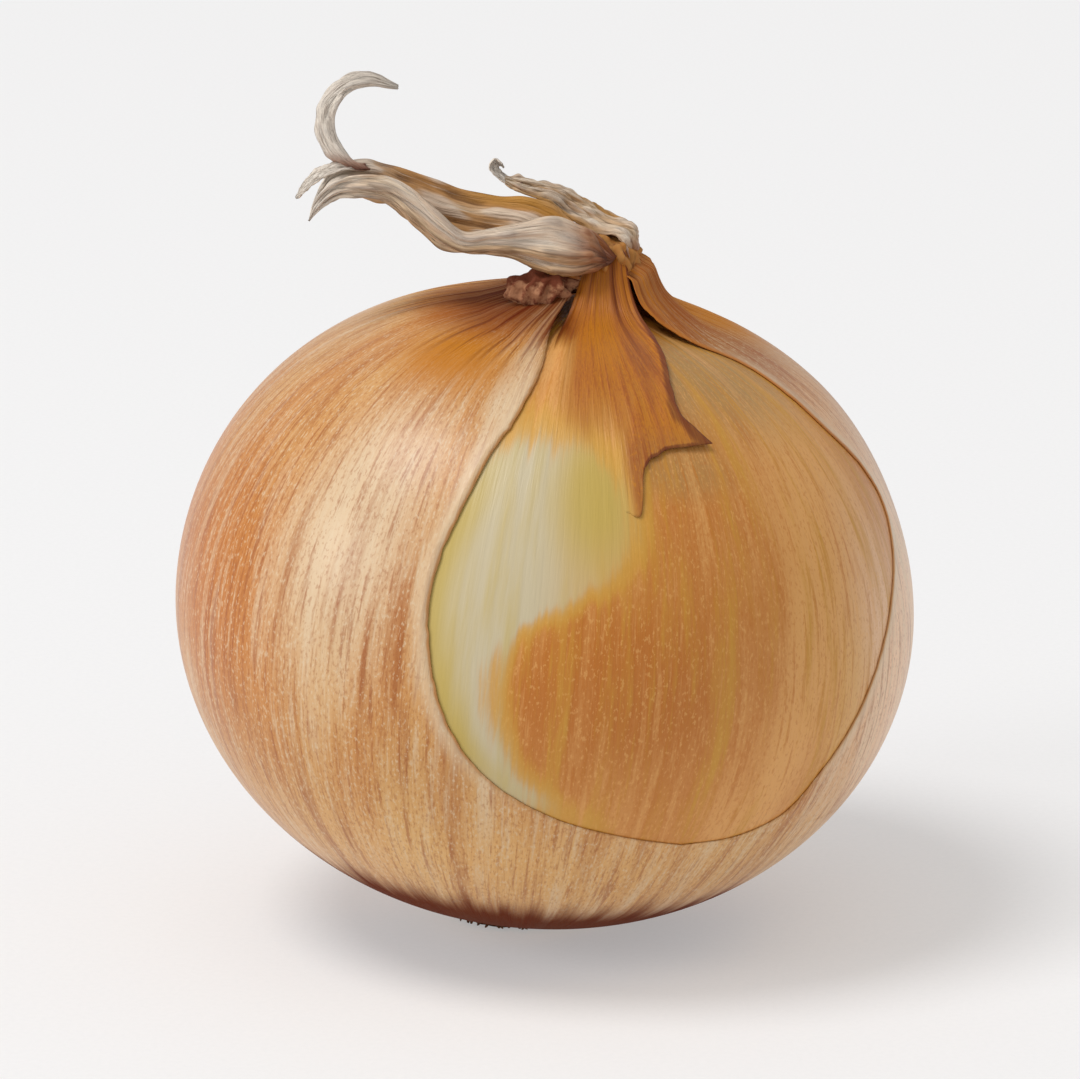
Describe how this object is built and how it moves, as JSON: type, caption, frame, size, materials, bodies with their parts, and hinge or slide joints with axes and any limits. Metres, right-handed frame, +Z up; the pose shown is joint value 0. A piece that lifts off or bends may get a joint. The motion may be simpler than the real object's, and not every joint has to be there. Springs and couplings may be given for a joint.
{
  "type": "onion",
  "caption": "Whole cured brown onion: a round bulb in a torn papery skin, with dried leaf strands at the neck and a trimmed root plate.",
  "frame": {"origin": "middle of the flat underside of the root plate", "axes": "+Z up, -Y to the side that shows the tear in the outer skin, +X to the side the bulb leans to"},
  "size_m": [0.0799, 0.0791, 0.0933],
  "materials": {
    "flesh": "smooth waxy inner skin, orange to pale green, satin",
    "outer_skin": "dry papery onion skin with fine lengthwise veins, satin",
    "torn_skin": "dry papery leaf, golden brown at the bulb and grey white at its tips",
    "withered": "shrivelled dark brown leaf base, matt",
    "root": "dry corky root plate with brown rootlets, matt"
  },
  "bodies": {
    "root": {"bulb": "flesh", "outer_skin": "outer_skin", "torn_skin": "torn_skin", "neck_stub": "withered", "root_plate": "root"}
  },
  "joints": []
}
